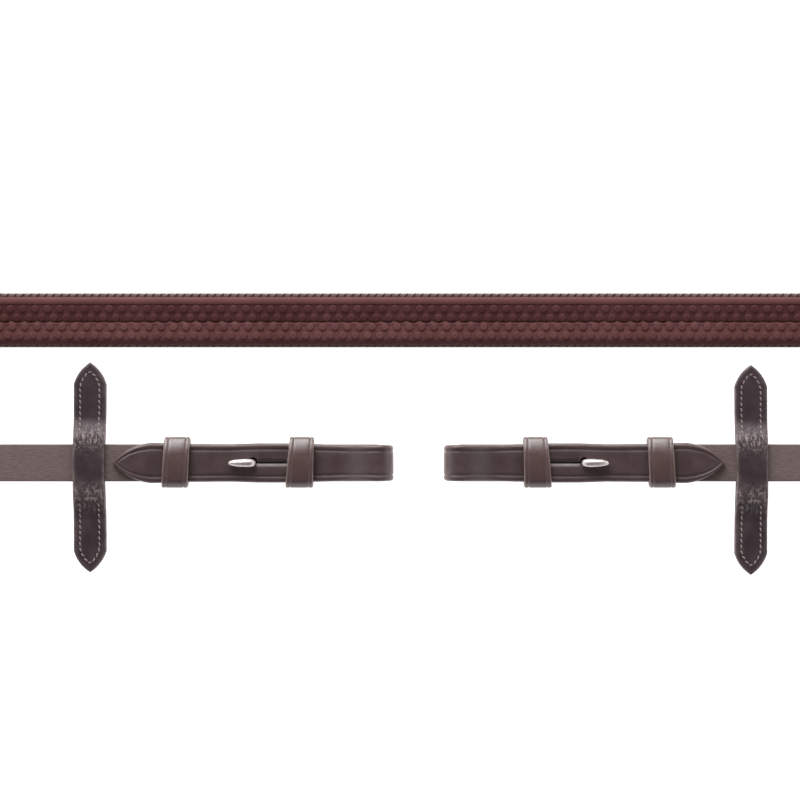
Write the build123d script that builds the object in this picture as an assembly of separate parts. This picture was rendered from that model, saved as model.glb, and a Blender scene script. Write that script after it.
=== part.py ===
from build123d import *

import math
import os

# A pair of leather reins with rubber hand grips, in millimetres, +Z up, lying on the plane Z = 0.
#
# Two straps join at a centre buckle. Each strap runs from the buckle through a rubber and leather grip
# to a hook stud billet, where its end folds back round the bit ring. The pair lies in one long loop:
# both billets lie flat, end to end, along -Y of the left grip's straight run. Outside that the straps
# roll on to their edges and bend the way leather does, round the vertical.
#
# Origin: on the underside of the left grip's straight run, level with the middle of the gap between
# the two bit folds. +X runs along the grip towards the right rein.

# ---- Driving dimensions ----
strap_width = 16.0
strap_thickness = 3.0
rein_length = 1370.0  # bit fold to the centre buckle's bar
grip_start = 400.0  # bit fold to the near end of the grip
grip_length = 760.0
grip_width = 23.5
grip_height = 8.0
slack = 0.1  # play between leather parts that lie against each other

# Plan of the loop
run_spacing = 61.3  # between the billets' line and the left grip's straight run
fold_gap = 21.4  # between the two bit folds
left_run = 255.0  # half-length of the straight runs on the left
right_run = 260.0  # and on the right
inner_turn = 90.0  # radius of the left rein's turn at the right-hand side
bight_lead = 40.0  # radius of the curves that lead in and out of a bight
bight_spread = math.radians(30)  # how far those curves turn

# Billet, measured from the bit fold
bit_eye_radius = 3.0
bit_eye_length = 24.0  # fold to where the two plies lie together
tail_length = 120.8
tail_point = 16.5
tail_point_radius = 24.0
stud_station = 60.5
tail_hole_radius = 2.3
tail_slit = (15.0, 0.55)
keeper_stations = {"bit_keeper": 40.0, "tip_keeper": 93.5}
keeper_width = 11.2
keeper_leather = 2.2
keeper_play = 0.3

# Rein stop
stop_stations = {"left": 130.7, "right": 132.3}
stop_length = 90.4
stop_width = 14.2
stop_point = 9.4
stop_point_radius = 16.5
stop_leather = 2.0
stop_shifts = {"left": 2.0, "right": 3.1}  # the wings sit this far to -Y of the strap
stitch_inset = 2.95
stitch_width = 0.6

# Flex lines, measured from the bit fold
lift_station = 200.6
flex_gap = 0.75

# Rolling on to the edge: where each roll starts, and how long it takes
strap_roll_start, strap_roll_length = 218.0, 70.0
grip_roll_clear, grip_roll_length = 184.0, 90.0  # clear is the half-length kept flat on the grip's run

# Centre buckle
buckle_wire = 1.5
buckle_side = 10.2
buckle_reach = 13.5
buckle_drop = 6.0
prong_radius = 1.2
prong_length = 17.0
pin_play = 0.06
tab_reach = 78.0
tab_bend_end = 26.0
chape_length = 48.0
chape_leather = 1.7
chape_play = 0.08

# ---- Worked out ----
half_strap = strap_thickness / 2
half_width = strap_width / 2
flat_height = grip_height / 2
edge_height = grip_width / 2
outer_turn = inner_turn + run_spacing
bight_radius = (run_spacing / 2 + bight_lead * (1 - math.cos(bight_spread))) / math.cos(bight_spread)
strap_top = flat_height + half_strap
strap_bottom = flat_height - half_strap
tail_bottom = strap_top + slack
tail_top = tail_bottom + strap_thickness


# ---- The loop's centre line ----
def arc(radius, turn):
    return (radius * abs(turn), turn)


def straight(length):
    return (length, 0.0)


bight = [
    arc(bight_lead, bight_spread),
    arc(bight_radius, -(math.pi + 2 * bight_spread)),
    arc(bight_lead, bight_spread),
]
bight_length = sum(length for length, _ in bight)
left_billet_run = left_run - fold_gap / 2
right_billet_run = right_run - fold_gap / 2
fixed_length = (
    left_billet_run
    + right_billet_run
    + left_run
    + right_run
    + math.pi * (inner_turn + outer_turn)
    + 2 * bight_length
)
doubled_run = (2 * rein_length - fixed_length) / 2
route = [
    straight(left_billet_run),
    *bight,
    straight(left_run + right_run),
    arc(inner_turn, math.pi),
    straight(doubled_run),
    *bight,
    straight(doubled_run),
    arc(outer_turn, -math.pi),
    straight(right_billet_run),
]
pair_length = 2 * rein_length


def plan(station):
    """Point and heading of the centre line, seen from above, at a distance from the left bit fold."""
    x, y, heading = -fold_gap / 2, -run_spacing, math.pi
    for length, turn in route:
        step = min(station, length)
        if turn:
            radius = length / turn
            swung = turn * step / length
            x += radius * (math.sin(heading + swung) - math.sin(heading))
            y -= radius * (math.cos(heading + swung) - math.cos(heading))
            heading += swung
        else:
            x += step * math.cos(heading)
            y += step * math.sin(heading)
        station -= step
        if station <= 0:
            break
    return x, y, heading


left_grip_run = left_billet_run + bight_length + left_run  # station of x = 0 on the grip's run
rolls = [
    (strap_roll_start, strap_roll_length, 90.0),
    (left_grip_run - grip_roll_clear - grip_roll_length, grip_roll_length, -90.0),
    (left_grip_run + grip_roll_clear, grip_roll_length, -90.0),
    (pair_length - strap_roll_start - strap_roll_length, strap_roll_length, 90.0),
]


def roll(station):
    """How far the strap has rolled from lying flat, in radians. Positive turns its inner face to the left."""
    angle = 0.0
    for start, length, turn in rolls:
        t = min(max((station - start) / length, 0.0), 1.0)
        angle += turn * t * t * (3 - 2 * t)
    return math.radians(angle)


def section(station):
    """Plane square to the strap: local x runs across the strap and local y out of its inner face."""
    x, y, heading = plan(station)
    angle = roll(station)
    height = edge_height * abs(math.sin(angle)) + flat_height * math.cos(angle)
    along = Vector(math.cos(heading), math.sin(heading), 0)
    left = Vector(-math.sin(heading), math.cos(heading), 0)
    across = left * math.cos(angle) - Vector(0, 0, 1) * math.sin(angle)
    return Plane(origin=(x, y, height), x_dir=across, z_dir=along)


def grid():
    """Stations where a section is needed: short steps where the strap turns or rolls, none elsewhere."""
    turn_step = math.radians(6)
    roll_step = 6.0
    marks, start = set(), 0.0
    for length, turn in route:
        steps = max(1, math.ceil(abs(turn) / turn_step))
        marks |= {round(start + length * i / steps, 4) for i in range(steps + 1)}
        start += length
    for start, length, _ in rolls:
        steps = math.ceil(length / roll_step)
        marks |= {round(start + length * i / steps, 4) for i in range(steps + 1)}
    marks |= {grip_start, grip_start + grip_length}
    marks |= {pair_length - grip_start, pair_length - grip_start - grip_length}
    return sorted(marks)


marks = grid()
least_step = 0.5


def swept(profile, start, end):
    """Solid with this cross-section along the centre line from one station to another."""
    inside = [m for m in marks if start + least_step < m < end - least_step]
    return loft([section(s) * profile for s in (start, *inside, end)], ruled=True)


def flex_pin(station, radius):
    """Rod across the strap at a flex line."""
    length = strap_width if radius <= half_strap else strap_width + 2
    return section(station) * Rot(0, 90, 0) * Cylinder(radius, length)


def polygon(*points):
    return make_face(Polyline(*points, close=True))


def pointed_outline(length, width, point, radius):
    """Strip along x with a gothic point at its far end: two arcs of one radius that meet at the tip."""
    half = width / 2
    shoulder = length - point
    tip = (length, 0)
    chord = math.hypot(point, half)
    bulge = radius - math.sqrt(radius**2 - chord**2 / 4)
    middle_x = shoulder + point / 2 + bulge * half / chord
    middle_y = half / 2 + bulge * point / chord
    return make_face(
        [
            Polyline((shoulder, half), (0, half), (0, -half), (shoulder, -half)),
            ThreePointArc((shoulder, -half), (middle_x, -middle_y), tip),
            ThreePointArc(tip, (middle_x, middle_y), (shoulder, half)),
        ]
    )


# ---- Straps ----
strap_profile = Rectangle(strap_width, strap_thickness)
swing_stations = {"left": left_billet_run + bight_length / 2, "right": pair_length - 350.0}
flex_stations = {
    "left": (lift_station, swing_stations["left"]),
    "right": (pair_length - lift_station, swing_stations["right"]),
}


def loop_strap(side):
    """Plain strap between the lifting flex line and the swinging one. Both its ends are round."""
    start, end = sorted(flex_stations[side])
    return swept(strap_profile, start, end) + flex_pin(start, half_strap) + flex_pin(end, half_strap)


def side_profile(*outline):
    """Face in the plane of a strap's length and height, ready to be given the strap's width."""
    return Plane.XZ * make_face(outline)


def across_strap(face, width=strap_width):
    return Pos(0, width / 2, 0) * extrude(face, width, dir=(0, -1, 0))


def end_strap():
    """Billet: the strap lies flat, folds round the bit ring and comes back on top as a pointed tail."""
    outer = bit_eye_radius + strap_thickness
    middle = strap_top + bit_eye_radius
    eye_inside = middle + bit_eye_radius
    eye_outside = middle + outer
    lean = bit_eye_length * 0.4
    main = across_strap(
        side_profile(
            Polyline(
                (outer, strap_top),
                (lift_station, strap_top),
                (lift_station, strap_bottom),
                (outer, strap_bottom),
                close=True,
            )
        )
    )
    fold = Pos(outer, 0, middle) * Rot(90, 0, 0) * Cylinder(outer, strap_width)
    fold -= Pos(outer, 0, middle) * Rot(90, 0, 0) * Cylinder(bit_eye_radius, strap_width)
    fold &= Pos(outer / 2, 0, middle) * Box(outer, strap_width, 2 * outer)
    closing = across_strap(
        side_profile(
            Line((outer, eye_inside), (outer, eye_outside)),
            Bezier(
                (outer, eye_outside),
                (lean + outer / 2, eye_outside),
                (bit_eye_length - lean, tail_top),
                (bit_eye_length, tail_top),
            ),
            Line((bit_eye_length, tail_top), (bit_eye_length, tail_bottom)),
            Bezier(
                (bit_eye_length, tail_bottom),
                (bit_eye_length - lean, tail_bottom),
                (lean + outer / 2, eye_inside),
                (outer, eye_inside),
            ),
        )
    )
    tail_plan = Pos(bit_eye_length, 0, tail_bottom) * pointed_outline(
        tail_length - bit_eye_length, strap_width, tail_point, tail_point_radius
    )
    tail = extrude(tail_plan, strap_thickness, dir=(0, 0, 1))
    tail -= Pos(stud_station, 0, tail_bottom + half_strap) * Cylinder(tail_hole_radius, 2 * strap_thickness)
    slit_length, slit_width = tail_slit
    tail -= Pos(stud_station - slit_length / 2, 0, tail_bottom + half_strap) * Box(
        slit_length, slit_width, strap_thickness
    )
    strap = main + fold + closing + tail
    strap -= stud_seat(plate_play)
    flex = Pos(lift_station, 0, flat_height) * Rot(90, 0, 0) * Cylinder(half_strap + flex_gap, strap_width + 2)
    return strap - flex


# ---- Hook stud ----
stud_plate = (10.0, 9.0, 0.9)
back_plate_thickness = 0.7
stud_prong_radius = 0.8
stud_prong_spacing = 6.4
plate_play = 0.05
stem_radius = 1.4
hook_radii = (1.75, 0.85)
hook_length = 12.2
hook_heel = 1.7  # how far the hook's round end reaches behind the middle of the plate
hook_clearance = 0.7


def stud_prongs(radius):
    height = strap_thickness - 2 * plate_play
    return [
        Pos(stud_station + side * stud_prong_spacing / 2, 0, flat_height) * Cylinder(radius, height)
        for side in (-1, 1)
    ]


def stud_seat(play):
    """What the stud's two plates and prongs take out of the strap."""
    length, width, thickness = stud_plate
    front = Pos(stud_station, 0, strap_top - thickness / 2) * Box(
        length + 2 * play, width + 2 * play, thickness
    )
    back = Pos(stud_station, 0, strap_bottom + back_plate_thickness / 2) * Box(
        length + 2 * play, width + 2 * play, back_plate_thickness
    )
    holes = [
        Pos(stud_station + side * stud_prong_spacing / 2, 0, flat_height)
        * Cylinder(stud_prong_radius + play, strap_thickness)
        for side in (-1, 1)
    ]
    return front + back + holes[0] + holes[1]


def hook_stud():
    """Plate with two prongs, a stem through the tail's hole, and a hook that points along the tail."""
    length, width, thickness = stud_plate
    big, small = hook_radii
    hook_height = tail_top + hook_clearance + big
    start = stud_station - hook_heel + big
    reach = hook_length - big - small
    plate = Pos(stud_station, 0, strap_top - thickness / 2) * Box(
        length, width, thickness - 2 * plate_play
    )
    stem_length = hook_height - strap_top + thickness / 2
    stem = Pos(start, 0, hook_height - stem_length / 2) * Cylinder(stem_radius, stem_length)
    taper = Pos(start + reach / 2, 0, hook_height) * Rot(0, 90, 0) * Cone(big, small, reach)
    stud = plate + stem + taper + Pos(start, 0, hook_height) * Sphere(big)
    stud += Pos(start + reach, 0, hook_height) * Sphere(small)
    for prong in stud_prongs(stud_prong_radius):
        stud += prong
    return stud


def hook_back_plate():
    """Plate on the strap's outer face that the stud's prongs are clenched over."""
    length, width, _ = stud_plate
    plate = Pos(stud_station, 0, strap_bottom + back_plate_thickness / 2) * Box(
        length, width, back_plate_thickness - 2 * plate_play
    )
    for side in (-1, 1):
        plate -= Pos(stud_station + side * stud_prong_spacing / 2, 0, flat_height) * Cylinder(
            stud_prong_radius + plate_play, 2 * strap_thickness
        )
    return plate


# ---- Keepers ----
def loop_of_leather(width, low, high, half_inside, leather):
    """Band round a strap: its width runs along the strap, and low and high bound the space inside."""
    height = high - low
    band = Box(width, 2 * (half_inside + leather), height + 2 * leather)
    band = fillet(band.edges().filter_by(Axis.X), leather)
    band -= Box(width + 1, 2 * half_inside, height)
    return Pos(0, 0, (low + high) / 2) * band


def billet_keeper(station):
    band = loop_of_leather(
        keeper_width,
        strap_bottom - keeper_play,
        tail_top + keeper_play,
        half_width + keeper_play,
        keeper_leather,
    )
    return Pos(station, 0, 0) * band


# ---- Rein stop ----
stop_low = strap_bottom - keeper_play
stop_seam = stop_low + slack
stop_bridge = strap_top + keeper_play
bridge_half = half_width + max(stop_shifts.values()) + keeper_play
bridge_foot = 17.5


def stop_outline(inset=0.0):
    """Plan of the stop: long across the strap, with a point at each end."""
    half = pointed_outline(
        stop_length / 2 - inset,
        stop_width - 2 * inset,
        stop_point - inset / 2,
        stop_point_radius - inset,
    )
    return Rot(0, 0, 90) * half + Rot(0, 0, -90) * half


def stop_back():
    return Pos(0, 0, stop_low - stop_leather) * extrude(stop_outline(), stop_leather, dir=(0, 0, 1))


def stop_front():
    """Upper leaf. It lies on the lower one at both wings and rises over the strap between them."""
    tip = stop_length
    low = [
        (-tip, stop_seam),
        (-bridge_foot, stop_seam),
        (-bridge_half, stop_bridge),
        (bridge_half, stop_bridge),
        (bridge_foot, stop_seam),
        (tip, stop_seam),
    ]
    high = [(y, z + stop_leather) for y, z in reversed(low)]
    arched = Plane.YZ * polygon(*low, *high)
    leaf = Pos(-stop_width, 0, 0) * extrude(arched, 2 * stop_width, dir=(1, 0, 0))
    outline = extrude(Pos(0, 0, stop_low) * stop_outline(), stop_bridge + stop_leather, dir=(0, 0, 1))
    return leaf & outline


def stop_stitching():
    """Thread on both faces of both wings, following the edge and meeting under each point."""
    ring = stop_outline(stitch_inset) - stop_outline(stitch_inset + stitch_width)
    ring -= Rectangle(stop_width, 2 * bridge_foot + 3)
    upper = extrude(Pos(0, 0, stop_seam + stop_leather + 0.02) * ring, 0.3, dir=(0, 0, 1))
    lower = extrude(Pos(0, 0, 0.02) * ring, 0.16, dir=(0, 0, 1))
    return upper + lower


# ---- Grips ----
grip_half = grip_width / 2 - 0.25
cover_top = grip_height / 2
channel_half = half_width + 0.15
channel_top = half_strap + 0.15
parting = 0.05
shoulder = 1.6
seam_half, seam_depth = 0.6, 0.6
thread_play = 0.02


def cover_profile(sign):
    """Half-shell over the strap inside the grip. sign is 1 for the rubber and -1 for the leather."""
    edge = [
        (channel_half, parting),
        (grip_half, parting),
        (grip_half, cover_top - shoulder),
        (grip_half - shoulder, cover_top),
    ]
    valley = [(seam_half, cover_top), (seam_half, cover_top - seam_depth)] if sign > 0 else []
    right = [(channel_half, channel_top), *edge, *valley]
    left = [(-x, y) for x, y in reversed(right)]
    return polygon(*[(x, sign * y) for x, y in right + left])


seam_profile = Pos(0, cover_top - seam_depth / 2) * Rectangle(
    2 * (seam_half - thread_play), seam_depth - 2 * thread_play
)
edge_profiles = [
    Pos(side * (grip_half + grip_width / 2 + thread_play) / 2, 0)
    * Rectangle(grip_width / 2 - grip_half - thread_play, 5.0)
    for side in (-1, 1)
]
grip_spans = {
    "left": (grip_start, grip_start + grip_length),
    "right": (pair_length - grip_start - grip_length, pair_length - grip_start),
}

# ---- Centre buckle, in the plane of the left strap: x towards the right rein, z out of its inner face ----
eye_outside = 3.4
prong_slot_half = 2.0
fixed_keeper_station = -17.0
runner_station = -54.0
centre_keeper_width = 9.0
centre_keeper_leather = 1.9
tab_gap = 0.15
tab_lie = -(strap_thickness + tab_gap)
tab_crest = -(eye_outside + half_strap + tab_gap)
tab_slot = (5.3, 10.4, 3.0)  # middle, length and width of the hole that the prong passes through
tab_holes = (-30.0, 34.0)
tab_hole_radius = 1.8


def blend_step(t):
    t = min(max(t, 0.0), 1.0)
    return t * t * (3 - 2 * t)


def tab_height(x):
    """Height of the tab's middle: flat on the left strap, over the chape's eye, then into line."""
    if x < 0:
        return tab_lie + (tab_crest - tab_lie) * blend_step((x + 9.0) / 9.0)
    return tab_crest * (1 - blend_step(x / tab_bend_end))


def buckle_frame():
    """Four round bars. The heel bar is the pivot, and the frame leans so that the tab passes through it."""
    lean = math.degrees(math.atan2(-buckle_drop, buckle_reach))
    side_length = math.hypot(buckle_reach, buckle_drop)
    bar = Rot(90, 0, 0) * Cylinder(buckle_wire, 2 * buckle_side)
    frame = bar + Pos(buckle_reach, 0, -buckle_drop) * bar
    for side in (-buckle_side, buckle_side):
        middle = Pos(buckle_reach / 2, side, -buckle_drop / 2)
        frame += middle * Rot(0, 90 - lean, 0) * Cylinder(buckle_wire, side_length)
        frame += Pos(0, side, 0) * Sphere(buckle_wire)
        frame += Pos(buckle_reach, side, -buckle_drop) * Sphere(buckle_wire)
    return frame


def buckle_prong():
    """Prong that turns on the heel bar, passes through the tab and rests on the front bar."""
    bar_angle = math.atan2(buckle_drop, buckle_reach)
    rest = buckle_wire + prong_radius + slack
    angle = bar_angle + math.asin(rest / math.hypot(buckle_reach, buckle_drop))
    ring_radius = 2.8
    ring = Rot(90, 0, 0) * Cylinder(ring_radius, 3.2)
    start = 2.0
    middle = (start + prong_length) / 2
    turned = Rot(0, math.degrees(angle), 0)
    shaft = turned * Pos(middle, 0, 0) * Rot(0, 90, 0) * Cylinder(prong_radius, prong_length - start)
    tip = turned * Pos(prong_length, 0, 0) * Sphere(prong_radius)
    prong = ring + shaft + tip
    return prong - Rot(90, 0, 0) * Cylinder(buckle_wire + pin_play, 10)


def chape():
    """End of the left strap: an eye round the heel bar, with the turned-back ply on the inner face."""
    plies = across_strap(
        Plane.XZ
        * polygon(
            (-chape_length, -half_strap),
            (0, -half_strap),
            (0, half_strap + chape_leather),
            (4.0 - chape_length, half_strap + chape_leather),
            (-chape_length, half_strap),
        )
    )
    eye = Rot(90, 0, 0) * Cylinder(eye_outside, strap_width)
    chape = plies + eye
    chape -= Rot(90, 0, 0) * Cylinder(buckle_wire + chape_play, strap_width + 2)
    slot_back = -3.3
    return chape - Pos((slot_back + 5) / 2, 0, 0) * Box(5 - slot_back, 2 * prong_slot_half, 10)


def tab():
    """End of the right strap: over the left one, through the frame, with a pointed tip."""
    steps = 40
    first = -9.0
    xs = [-tab_reach] + [first + (tab_bend_end - first) * i / steps for i in range(steps + 1)]
    low = [(x, tab_height(x) - half_strap) for x in xs]
    high = [(x, tab_height(x) + half_strap) for x in reversed(xs)]
    strip = across_strap(Plane.XZ * polygon(*low, *high))
    plan = Pos(tab_bend_end, 0, -10) * Rot(0, 0, 180) * pointed_outline(
        tab_bend_end + tab_reach, strap_width, tail_point, tail_point_radius
    )
    strip &= extrude(plan, 20, dir=(0, 0, 1))
    middle, length, width = tab_slot
    strip -= extrude(Pos(middle, 0, -10) * SlotOverall(length, width), 20, dir=(0, 0, 1))
    for x in tab_holes:
        if x < tab_bend_end:
            strip -= Pos(x, 0, tab_height(x)) * Cylinder(tab_hole_radius, 2 * strap_thickness)
    return strip


def centre_keeper(station):
    band = loop_of_leather(
        centre_keeper_width,
        tab_lie - half_strap - keeper_play,
        half_strap + chape_leather + keeper_play,
        half_width + keeper_play,
        centre_keeper_leather,
    )
    return Pos(station, 0, 0) * band


def chape_stitching():
    """Two rows of thread through the chape's plies, on its inner face."""
    row = Box(chape_length - 14, stitch_width, 0.2)
    height = half_strap + chape_leather + 0.13
    middle = -(chape_length + 6) / 2
    return Pos(middle, half_width - stitch_inset, height) * row + Pos(
        middle, stitch_inset - half_width, height
    ) * row


centre_plane = section(rein_length)
# Local x along the strap, y across it and z out of its inner face.
centre = Plane(origin=centre_plane.origin, x_dir=centre_plane.z_dir, z_dir=centre_plane.y_dir).location


# ---- Assembly ----
def left_rein_strap():
    end = rein_length - chape_length
    strap = swept(strap_profile, swing_stations["left"], end) + centre * chape()
    return strap - flex_pin(swing_stations["left"], half_strap + flex_gap)


def right_rein_strap():
    start = rein_length + tab_bend_end
    strap = swept(strap_profile, start, swing_stations["right"]) + centre * tab()
    for x in tab_holes:
        if x > tab_bend_end:
            strap -= centre * Pos(x, 0, 0) * Cylinder(tab_hole_radius, 2 * strap_thickness)
    return strap - flex_pin(swing_stations["right"], half_strap + flex_gap)


def side_parts(side, placed):
    """Everything that the two reins have alike. placed carries the billet from its own frame."""
    start, end = grip_spans[side]
    shift = stop_shifts[side] if side == "left" else -stop_shifts[side]
    shifted = placed * Pos(stop_stations[side], shift, 0)
    parts = {
        "end_strap": placed * end_strap(),
        "loop_strap": loop_strap(side),
        "hook_stud": placed * hook_stud(),
        "hook_back_plate": placed * hook_back_plate(),
        "stop_front": shifted * stop_front(),
        "stop_back": shifted * stop_back(),
        "stop_stitching": shifted * stop_stitching(),
        "grip_rubber": swept(cover_profile(1), start, end),
        "grip_leather": swept(cover_profile(-1), start, end),
        "grip_seam_stitching": swept(seam_profile, start, end),
        "grip_edge_stitching": Compound(children=[swept(p, start, end) for p in edge_profiles]),
    }
    for name, station in keeper_stations.items():
        parts[name] = placed * billet_keeper(station)
    return {f"{side}_{name}": part for name, part in parts.items()}


def assembly():
    fold = fold_gap / 2
    parts = side_parts("left", Pos(-fold, -run_spacing, 0) * Rot(0, 0, 180))
    parts |= side_parts("right", Pos(fold, -run_spacing, 0))
    parts["left_rein_strap"] = left_rein_strap()
    parts["right_rein_strap"] = right_rein_strap()
    parts["buckle_frame"] = centre * buckle_frame()
    parts["buckle_prong"] = centre * buckle_prong()
    parts["buckle_keeper"] = centre * centre_keeper(fixed_keeper_station)
    parts["buckle_runner"] = centre * centre_keeper(runner_station)
    parts["chape_stitching"] = centre * chape_stitching()
    return parts


os.makedirs("parts", exist_ok=True)
for node, part in assembly().items():
    export_step(part, f"parts/{node}.step")
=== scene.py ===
import math

import bpy
import numpy as np
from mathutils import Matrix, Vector


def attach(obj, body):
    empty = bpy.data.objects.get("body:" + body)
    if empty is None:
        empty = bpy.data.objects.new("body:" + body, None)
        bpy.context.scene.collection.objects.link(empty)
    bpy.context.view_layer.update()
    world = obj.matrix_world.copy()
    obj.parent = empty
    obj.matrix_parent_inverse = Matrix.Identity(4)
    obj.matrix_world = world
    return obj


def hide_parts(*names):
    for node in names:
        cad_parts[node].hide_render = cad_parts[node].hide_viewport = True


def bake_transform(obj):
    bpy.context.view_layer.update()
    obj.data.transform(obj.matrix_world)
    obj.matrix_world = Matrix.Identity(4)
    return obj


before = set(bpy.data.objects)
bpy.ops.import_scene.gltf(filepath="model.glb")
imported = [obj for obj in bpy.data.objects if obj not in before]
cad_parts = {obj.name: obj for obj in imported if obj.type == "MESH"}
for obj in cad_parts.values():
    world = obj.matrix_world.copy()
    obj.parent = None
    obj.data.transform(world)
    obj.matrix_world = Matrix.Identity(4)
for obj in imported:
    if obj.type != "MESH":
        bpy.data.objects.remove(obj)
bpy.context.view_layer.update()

# Looks for a pair of leather reins with rubber grips. Lengths are millimetres until a mesh is made.
MM = 0.001
UP = np.array([0.0, 0.0, 1.0])

# ---- The same layout as the CAD ----
strap_width = 16.0
strap_thickness = 3.0
rein_length = 1370.0
pair_length = 2 * rein_length
grip_start = 400.0
grip_length = 760.0
grip_width = 23.5
grip_height = 8.0
run_spacing = 61.3
fold_gap = 21.4
left_run = 255.0
right_run = 260.0
inner_turn = 90.0
outer_turn = inner_turn + run_spacing
bight_lead = 40.0
bight_spread = math.radians(30)
bight_radius = (run_spacing / 2 + bight_lead * (1 - math.cos(bight_spread))) / math.cos(bight_spread)
flat_height = grip_height / 2
edge_height = grip_width / 2
bit_eye_radius = 3.0
bit_eye_length = 24.0
tail_length = 120.8
tail_point = 16.5
tail_arc = 24.0
tail_middle = flat_height + strap_thickness + 0.1
stud_station = 60.5
tail_hole_radius = 1.8
tail_slit = (15.0, 0.55)
keeper_stations = {"bit_keeper": 40.0, "tip_keeper": 93.5}
stop_stations = {"left": 130.7, "right": 132.3}
stop_length = 90.4
stop_width = 14.2
stop_point = 9.4
stop_arc = 16.5
stop_shifts = {"left": 2.0, "right": 3.1}  # how far the wings sit to -Y of the strap
sides = {"left": -1, "right": 1}


def arc(radius, turn):
    return (radius * abs(turn), turn)


def straight(length):
    return (length, 0.0)


bight = [
    arc(bight_lead, bight_spread),
    arc(bight_radius, -(math.pi + 2 * bight_spread)),
    arc(bight_lead, bight_spread),
]
bight_length = sum(length for length, _ in bight)
left_billet_run = left_run - fold_gap / 2
right_billet_run = right_run - fold_gap / 2
fixed_length = left_billet_run + right_billet_run + left_run + right_run
fixed_length += math.pi * (inner_turn + outer_turn) + 2 * bight_length
doubled_run = (pair_length - fixed_length) / 2
# The centre line from the left bit fold to the right one, as lengths and how far each one turns.
route = [
    straight(left_billet_run),
    *bight,
    straight(left_run + right_run),
    arc(inner_turn, math.pi),
    straight(doubled_run),
    *bight,
    straight(doubled_run),
    arc(outer_turn, -math.pi),
    straight(right_billet_run),
]
left_grip_run = left_billet_run + bight_length + left_run
# Where the strap rolls over about its own length: start, length and degrees.
rolls = [
    (218.0, 70.0, 90.0),
    (left_grip_run - 274.0, 90.0, -90.0),
    (left_grip_run + 184.0, 90.0, -90.0),
    (pair_length - 288.0, 70.0, 90.0),
]
# Flex lines, and how far a bend would spread to each side of them. Points at them are worked out, but
# nothing here bends the straps.
lift_station, lift_bend = 200.6, 8.0
swing_stations = {"left": left_billet_run + bight_length / 2, "right": pair_length - 350.0}
# Distances from the bit fold where one strip ends inside the next.
billet_end = 276.0
lead_end = 440.0


def plan(station):
    """Point and heading of the centre line, seen from above, at a distance from the left bit fold."""
    x, y, heading = -fold_gap / 2, -run_spacing, math.pi
    for length, turn in route:
        step = min(station, length)
        if turn:
            radius = length / turn
            swung = turn * step / length
            x += radius * (math.sin(heading + swung) - math.sin(heading))
            y -= radius * (math.cos(heading + swung) - math.cos(heading))
            heading += swung
        else:
            x += step * math.cos(heading)
            y += step * math.sin(heading)
        station -= step
        if station <= 0:
            break
    return x, y, heading


def smooth(t):
    t = min(max(t, 0.0), 1.0)
    return t * t * (3 - 2 * t)


def bell(distance, width):
    """1 at no distance, falling away on both sides."""
    return np.exp(-((distance / width) ** 2))


def roll(station):
    return math.radians(sum(turn * smooth((station - start) / length) for start, length, turn in rolls))


def section(station):
    """Middle of the strap, the direction across it, and the direction out of its inner face."""
    x, y, heading = plan(station)
    angle = roll(station)
    height = edge_height * abs(math.sin(angle)) + flat_height * math.cos(angle)
    along = np.array([math.cos(heading), math.sin(heading), 0.0])
    left = np.array([-math.sin(heading), math.cos(heading), 0.0])
    across = left * math.cos(angle) - UP * math.sin(angle)
    return np.array([x, y, height]), across, np.cross(along, across)


def sections(stations):
    origins, across, out = zip(*(section(s) for s in stations))
    return np.array(origins), np.array(across), np.array(out)


def from_fold(side_name, distance):
    """Station at a distance from one rein's own bit fold."""
    return distance if side_name == "left" else pair_length - distance


def at_billet(side, along, across, height):
    """Points from a billet's own frame: away from its bit fold, towards the grip, and up."""
    parts = np.broadcast_arrays(side * (fold_gap / 2 + along), across - run_spacing, height)
    return np.stack(parts, -1)


def steps(start, end, step):
    count = max(1, math.ceil(abs(end - start) / step))
    return np.linspace(start, end, count + 1)


def unit(vectors):
    return vectors / np.linalg.norm(vectors, axis=-1, keepdims=True)


def travelled(line):
    """Distance along a line at each of its points."""
    return np.concatenate([[0], np.cumsum(np.linalg.norm(np.diff(line, axis=0), axis=1))])


def circle(radius, count=24):
    turns = np.arange(count) * 2 * math.pi / count
    return [(radius * math.cos(t), radius * math.sin(t)) for t in turns]


def rectangle(low, high, half):
    return [(low, -half), (high, -half), (high, half), (low, half)]


def add_object(name, data):
    piece = bpy.data.objects.new(name, data)
    bpy.context.scene.collection.objects.link(piece)
    return piece


def stand_for(piece, body, *nodes):
    """Shows a piece in place of CAD nodes, and moves it with a body."""
    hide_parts(*nodes)
    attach(piece, body)


def skin(rows, columns, loop=False):
    """Quads over a grid of points whose rows close on themselves."""
    index = np.arange(rows * columns).reshape(rows, columns)
    first = index if loop else index[:-1]
    second = np.roll(index, -1, axis=0)[: len(first)]
    quads = np.stack([first, np.roll(first, -1, 1), np.roll(second, -1, 1), second], -1)
    return quads.reshape(-1, 4).tolist()


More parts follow.
